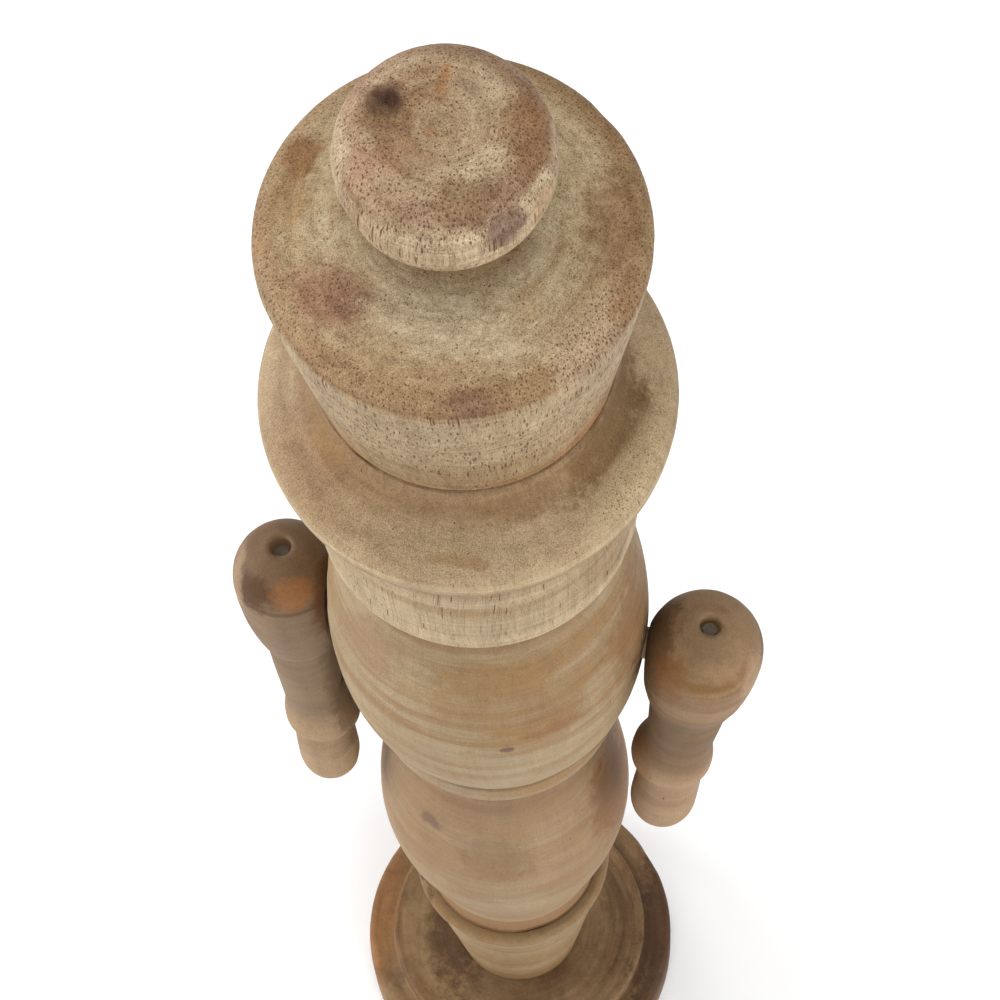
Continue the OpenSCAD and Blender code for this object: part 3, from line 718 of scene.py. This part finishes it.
# Heights and places on the body are in mm from the middle of the foot's underside.
looks = {
    "knob": dict(
        base=(0.34, 0.235, 0.135), pale=CREAM, warm=(0.27, 0.145, 0.072), tone=(0.94, 0.93, 0.92),
        pith=(3, 8), crowd=0.5, radius=0.14, mottle=0.75, grain=0.9,
        bands=(
            (423.8, 427.2, 0.7, (0.25, 0.135, 0.08), 0.6, 0.35),
            (409, 421.5, 1.5, CREAM, 0.6, 0.0)),
        stains_and_painted_light=(
            # the dark knot, in a brown surround
            ((-9, 0.5, 428), (5.5, 4.5, 4), BROWN, 0.8, 0.2),
            ((-8.6, 2.2, 428), (3.6, 2.8, 4), UMBER, 0.75, 0.3),
            ((-8.0, 2.4, 428), (1.9, 1.4, 4), KNOT, 1.0, 0.0),
            ((-9.8, 2.9, 428), (1.1, 0.6, 4), KNOT, 0.7, 0.0),
            # the top
            ((-1.2, 6.5, 428), (1.2, 3.5, 3), ORANGE, 0.55, 0.0),
            ((-1.5, -1.5, 428), (1.2, 1.0, 3), ORANGE, 0.6, 0.0),
            ((5, 5, 428), (4.5, 5, 4), GREY, 0.7, -0.2),
            ((0, 0, 428), (7, 7, 3), TAN, 0.4, -0.2),
            # the shoulder and the side
            ((-8, -7, 426), (4.5, 3, 3), PINK, 0.8, 0.35),
            ((6, -11, 426.5), (6, 4, 4), BROWN, 0.7, 0.35),
            ((11.5, -11.5, 421.5), (4, 4, 5), PLUM, 0.75, 0.2),
            ((12.5, 3, 426), (6, 9, 5), RUST, 0.65, 0.35),
            # painted sheen on the pale front and left of the knob
            ((1, -16, 420), (10, 4, 4.5), CREAM, 0.95, -0.1),
            ((-14.5, -6, 421), (3, 7, 7), CREAM, 0.7, 0.0),
            ((15.5, -5, 418), (3, 4, 4), ORANGE, 0.3, 0.0))),
    "hat_crown": dict(
        base=(0.36, 0.27, 0.16), pale=(0.43, 0.345, 0.225), warm=(0.32, 0.19, 0.095),
        tone=(0.9, 0.88, 0.82), pith=(5, 2), crowd=0.02, radius=0.13, mottle=0.55, grain=0.8,
        bands=(
            # the dome's edge, where the pores show as short strokes, and the side below it
            (391.8, 396.3, 0.8, (0.25, 0.14, 0.062), 0.85, 1.0),
            (360, 391.2, 0.8, (0.335, 0.24, 0.14), 0.7, 0.75),
            (352, 364, 3.0, (0.25, 0.155, 0.07), 0.8, 0.2),
            (349.0, 353.5, 1.0, RUST, 0.75, 0.0)),
        stains_and_painted_light=(
            # the dome, from its left round the front to its right
            ((-24, 6.5, 397), (3.5, 5, 4), RUST, 0.8, 0.2),
            ((-24, -1, 397), (4, 6, 4), YELLOW, 0.5, 0.0),
            ((-15, -15.5, 397.5), (8, 6, 4), (0.26, 0.14, 0.085), 0.85, 0.55),
            ((-12, -16, 398), (4, 3, 3), (0.19, 0.098, 0.06), 0.6, 0.5),
            # painted sheen: the pale grey front of the dome
            ((4, -18, 399), (15, 6, 4), (0.45, 0.37, 0.25), 0.8, -0.1),
            ((13, 14, 399), (10, 9, 5), GREY, 0.4, 0.0),
            ((24, 5, 397), (6, 11, 6), (0.24, 0.145, 0.075), 0.85, 0.2),
            ((8, -27.5, 394.5), (6, 3, 2.5), PLUM, 0.5, 0.3),
            # the foot of the crown, and the dome's front right edge
            ((22, -10, 353), (6, 8, 5), ORANGE, 0.55, 0.0),
            ((-15, -20, 354), (6, 6, 4), ORANGE, 0.35, 0.0),
            ((23, -16, 394.5), (7, 8, 5), (0.4, 0.29, 0.19), 0.85, 0.4))),
    "hat_brim": dict(
        base=(0.31, 0.205, 0.118), pale=(0.385, 0.28, 0.178), warm=(0.26, 0.155, 0.078),
        tone=(0.92, 0.9, 0.81), pith=(-8, 14), crowd=-0.2, mottle=0.6, fine=0.9,
        bands=(
            # painted shade in the cove, painted light on the roll, a painted highlight on the edge
            (341, 351, 1.8, BROWN, 0.5, -0.1),
            (333.4, 340, 1.5, (0.41, 0.305, 0.2), 0.65, 0.0),
            (331.2, 333.3, 0.3, CREAM, 1.0, -0.5),
            # more pores, with a painted shadow under the edge
            (326.5, 329.6, 0.8, BROWN, 0.45, 0.3)),
        stains_and_painted_light=(
            ((-18, -17, 345), (7, 7, 5), YELLOW, 0.5, 0.0),
            ((-24, -20, 338), (8, 6, 4), PINK, 0.3, 0.1),
            ((26, -6, 344), (10, 18, 8), (0.16, 0.09, 0.036), 1.0, 0.0),
            ((14, -22, 345), (12, 7, 5), (0.22, 0.135, 0.065), 0.7, 0.0),
            ((9, -31, 337.6), (10, 1.6, 1.3), YELLOW, 0.6, 0.0),
            ((29, -12, 337), (8, 12, 3), CREAM, 0.8, 0.6))),
    "head": dict(
        base=GREY, pale=CREAM, warm=TAN, tone=(0.96, 0.95, 0.9),
        pith=(20, 50), crowd=0.05, radius=0.11, grain=0.6, fine=0.8,
        bands=(
            # more pores, with a painted shadow under the brim's edge
            (310, 323, 2.5, BROWN, 0.4, 0.4),
            (284, 291.5, 1.2, CREAM, 0.85, -0.4)),
        stains_and_painted_light=(
            ((26, -12, 305), (8, 14, 16), RUST, 0.3, 0.1),)),
    "torso": dict(
        tone=(0.94, 0.94, 0.9), pith=(6, 24), crowd=-0.6, mottle=0.75, fine=0.6, grain=0.3,
        bands=(
            # painted shade under the head, the pale lower part, and the dark lines at the collar
            (276, 288, 3.0, BROWN, 0.7, 0.0),
            (196, 232, 5.0, GREY, 0.5, 0.0),
            (196.8, 199.6, 0.5, UMBER, 0.45, 0.0),
            (186, 190.8, 0.5, UMBER, 0.5, 0.0)),
        stains_and_painted_light=(
            # the yellow chest with its streak, then the paler and redder sides
            ((8, -26, 264), (14, 8, 7), YELLOW, 0.8, 0.0),
            ((14, -24, 245), (14, 7, 4), YELLOW, 0.9, 0.0),
            ((17, -24, 242), (7, 5, 2.5), RUST, 0.6, 0.0),
            ((-16, -21, 262), (9, 8, 9), PINK, 0.6, 0.0),
            # the right side's darker red is painted shade, away from the lamp on the left
            ((28, -4, 252), (6, 13, 18), RUST, 0.65, 0.0),
            ((24, -16, 250), (5, 6, 4), CREAM, 0.3, 0.0),
            # a small dark fleck
            ((9, -28, 237.5), (1.6, 1.5, 1.6), UMBER, 0.7, 0.0),
            # painted shade behind the hanging arms, in the crevices between arms and torso
            ((29.8, 0, 226), (3, 9, 16), UMBER, 0.7, 0.0),
            ((-29.8, 0, 226), (3, 8, 16), UMBER, 0.7, 0.0))),
    "hips": dict(
        tone=(0.94, 0.91, 0.86), warm=PINK, pith=(-10, 30), crowd=-0.6, mottle=0.45, fine=0.5,
        grain=0.25,
        bands=(
            # under the collar, and the brown ring above the leg with a dark line at each edge
            (172, 191, 4.0, BROWN, 0.75, 0.0),
            (76, 87, 1.2, (0.24, 0.12, 0.045), 0.65, 0.0),
            (77, 79.4, 0.5, UMBER, 0.85, 0.0),
            (85.2, 87.2, 0.4, UMBER, 0.55, 0.0)),
        stains_and_painted_light=(
            ((4, -24, 151), (9, 5, 12), BROWN, 0.5, 0.3),
            ((-11, -22, 160), (3.5, 3, 5), PLUM, 0.6, 0.0),
            # painted shade: the right side darker and redder, away from the lamp on the left
            ((24, -3, 152), (8, 13, 26), RUST, 0.9, 0.0),
            ((6, -24, 118), (14, 6, 9), GREY, 0.5, 0.0))),
    "leg": dict(
        tone=(0.88, 0.86, 0.8), pith=(12, 30), crowd=-0.6, mottle=0.5, fine=0.4, grain=0.3,
        bands=(
            (70.5, 73.8, 0.6, RUST, 0.7, 0.0),
            (18, 26, 1.5, YELLOW, 0.4, 0.0)),
        stains_and_painted_light=(
            # painted shade on the leg's left side, under the overhang of the hips
            ((-18, -4, 56), (9, 13, 30), UMBER, 0.95, 0.0),
            ((17, 2, 56), (5, 10, 24), RUST, 0.5, 0.0))),
    "base": dict(
        base=BROWN, pale=TAN, warm=UMBER, tone=(0.92, 0.92, 0.88),
        pith=(50, 16), crowd=-0.6, mottle=0.65, fine=0.4,
        stains_and_painted_light=(
            # painted shade on the top round the foot of the leg
            ((-13, -4, 19), (9, 16, 3), (0.09, 0.048, 0.024), 0.8, 0.0),
            # the orange left side
            ((-32, -2, 12), (6, 26, 9), ORANGE, 0.5, 0.0),
            # painted shade on the right side and the right of the top, away from the lamp on the left
            ((32, 8, 12), (9, 30, 9), UMBER, 0.9, 0.0),
            ((24, 8, 19), (9, 18, 3), UMBER, 0.25, 0.0),
            # a painted highlight along the rim of the step, at the right
            ((27, 12, 18), (1.5, 12, 2), TAN, 0.4, 0.0),
            # the darker top in front of the leg
            ((0, -12, 19), (17, 13, 2), UMBER, 0.35, 0.0))),
}
for number, name in enumerate(BODY, 1):
    pieces[name].data.materials.clear()
    pieces[name].data.materials.append(wood(name + "_wood", number, **looks[name]))

# Heights and places on an arm are in mm along its own axis, up from the dowel's.
arm_looks = {
    "left": dict(
        base=(0.225, 0.134, 0.067), pale=(0.27, 0.175, 0.1), warm=(0.17, 0.098, 0.046),
        tone=(1, 0.97, 0.89), crowd=-0.5, mottle=0.9, pith=(9, 12), fine=0.5, grain=0.22,
        bands=(
            # the dark upper arm, the pale hand, and the line at the cuff's lower edge
            (-48, -12, 3.0, (0.13, 0.079, 0.04), 0.85, 0.0),
            (-90, -46, 4.0, (0.34, 0.223, 0.136), 0.9, 0.0),
            (-54.8, -53, 0.5, (0.1, 0.056, 0.028), 0.75, 0.0)),
        stains_and_painted_light=(
            # painted shade on the inner side, where the arm lies against the torso
            ((-8.5, -1, 2), (4, 12, 17), UMBER, 0.7, 0.0),
            # then patches on the shoulder and the cuff
            ((-5.5, -8, 4), (4, 5, 9), RUST, 0.75, 0.0),
            ((0, -3, 12), (5, 5, 5), (0.17, 0.11, 0.065), 0.6, 0.0),
            ((1.5, -8.8, 6.3), (8, 4, 1.4), (0.19, 0.1, 0.035), 0.95, 0.0),
            ((7.5, -5, 3), (1.2, 3, 8), RUST, 0.6, 0.0),
            ((9.5, -4, 3), (2.2, 5, 9), SAND, 0.7, 0.0),
            ((-7, -3, -50), (4, 8, 9), RUST, 0.6, 0.0))),
    "right": dict(
        base=(0.17, 0.104, 0.058), pale=(0.21, 0.14, 0.085), warm=(0.13, 0.075, 0.04),
        tone=(1, 0.97, 0.9), crowd=-0.5, mottle=0.85, pith=(-9, 12), fine=0.5, grain=0.22,
        bands=(
            # the upper arm, the pale hand, and the line across the shoulder
            (-20, 4.4, 0.5, (0.215, 0.148, 0.092), 0.85, 0.0),
            (-50, -20, 2.0, (0.225, 0.158, 0.1), 0.8, 0.0),
            (-90, -50, 4.0, (0.35, 0.24, 0.145), 0.95, 0.0),
            (3.8, 4.8, 0.3, UMBER, 0.5, 0.0)),
        stains_and_painted_light=(
            # the dark and the orange patch on the front of the shoulder
            ((-4.5, -7.5, 7.4), (6, 5, 4.5), UMBER, 0.85, 0.0),
            ((4, -7, 8.4), (5, 4.5, 4), ORANGE, 0.65, 0.0),
            ((-8, -3, 5), (2, 6, 7), SAND, 0.6, 0.0),
            # the shaded side towards the body
            ((8.5, -3, 2), (3, 8, 13), (0.14, 0.06, 0.025), 0.85, 0.0),
            ((7, -2, -40), (3, 8, 28), (0.12, 0.073, 0.04), 0.75, 0.0))),
}
for side in SIDES:
    piece = pieces[side + "_arm"]
    upright = arm_frame(side).inverted()
    piece.data.materials.clear()
    piece.data.materials.append(wood(side + "_arm_wood", WOOD_SEED[side], to_axis=upright,
                                     **arm_looks[side]))

for name, piece in pieces.items():
    body = "figure" if name in BODY else name.replace("_arm", "_limb")
    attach(piece, body)
    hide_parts(name)

# what stays as the CAD model has it
carried = {"felt_pad": felt(), "base_screw": steel(), "left_arm_pin": steel(), "right_arm_pin": steel()}
dowel_wood = wood("dowel_wood", 30, base=TAN, pale=CREAM, warm=BROWN, mottle=0.3, crowd=-0.1)
for name, node in nodes.items():
    if name in pieces:
        continue
    node.data.materials.clear()
    node.data.materials.append(carried.get(name, dowel_wood))


# ---------------------------------------------------------------- studio

def soft_light(name, place, aim, size, power):
    """A round white lamp size metres across."""
    data = bpy.data.lights.new(name, "AREA")
    data.shape = "DISK"
    data.size = size
    data.energy = power
    lamp = linked(name, data)
    lamp.location = place
    lamp.rotation_euler = (aim - Vector(place)).to_track_quat("-Z", "Y").to_euler()


def floor(radius=6.0):
    """A plain white floor that glows a little, so that it stays pale in the shadows."""
    bm = bmesh.new()
    bmesh.ops.create_circle(bm, cap_ends=True, segments=64, radius=radius)
    obj = mesh_object("floor", bm)
    n = Nodes("floor_white")
    n.shader.inputs["Base Color"].default_value = (0.9, 0.9, 0.9, 1)
    n.shader.inputs["Roughness"].default_value = 0.9
    n.shader.inputs["Emission Color"].default_value = (1, 1, 1, 1)
    n.shader.inputs["Emission Strength"].default_value = 0.1
    obj.data.materials.append(n.material)


def studio_air(strength):
    """Plain white light from all round."""
    world = bpy.data.worlds.new("studio")
    world.use_nodes = True
    background = world.node_tree.nodes["Background"]
    background.inputs["Color"].default_value = (1, 1, 1, 1)
    background.inputs["Strength"].default_value = strength
    bpy.context.scene.world = world


def camera(aim, distance, azimuth, elevation, roll, lens):
    """A camera at distance from aim, with azimuth and elevation in degrees."""
    a, e = math.radians(azimuth), math.radians(elevation)
    out = Vector((math.sin(a) * math.cos(e), -math.cos(a) * math.cos(e), math.sin(e)))
    data = bpy.data.cameras.new("camera")
    data.lens = lens
    data.sensor_width = 36
    data.clip_start = 0.05
    obj = linked("camera", data)
    right = Vector((math.cos(a), math.sin(a), 0))
    up = out.cross(right)
    turn = Matrix((right, up, out)).transposed().to_4x4()
    obj.matrix_world = (Matrix.Translation(aim + out * distance) @ turn
                        @ Matrix.Rotation(math.radians(roll), 4, "Z"))
    bpy.context.scene.camera = obj


# each lamp's name, place and size in metres, and power in watts
LAMPS = (
    ("left", (-1.7, -0.1, 0.55), 1.3, 29),
    ("front", (0.2, -1.7, 0.7), 1.2, 12),
    ("top", (0.0, 0.1, 2.0), 1.2, 20),
    ("back", (-1.1, 1.1, 1.2), 1.2, 10),
    ("right", (1.7, -0.1, 0.55), 1.3, 12),
    ("low_right", (1.1, -1.2, 1.2), 1.2, 12))

floor()
for name, place, size, power in LAMPS:
    soft_light(name, place, Vector((0, 0, 0.25)), size, power)
studio_air(0.06)
bpy.context.scene.view_settings.view_transform = "Standard"
camera(aim=Vector((0.0036, 0.001, 0.2853)), distance=0.6925, azimuth=15.79, elevation=68.07,
       roll=-4.78, lens=144)
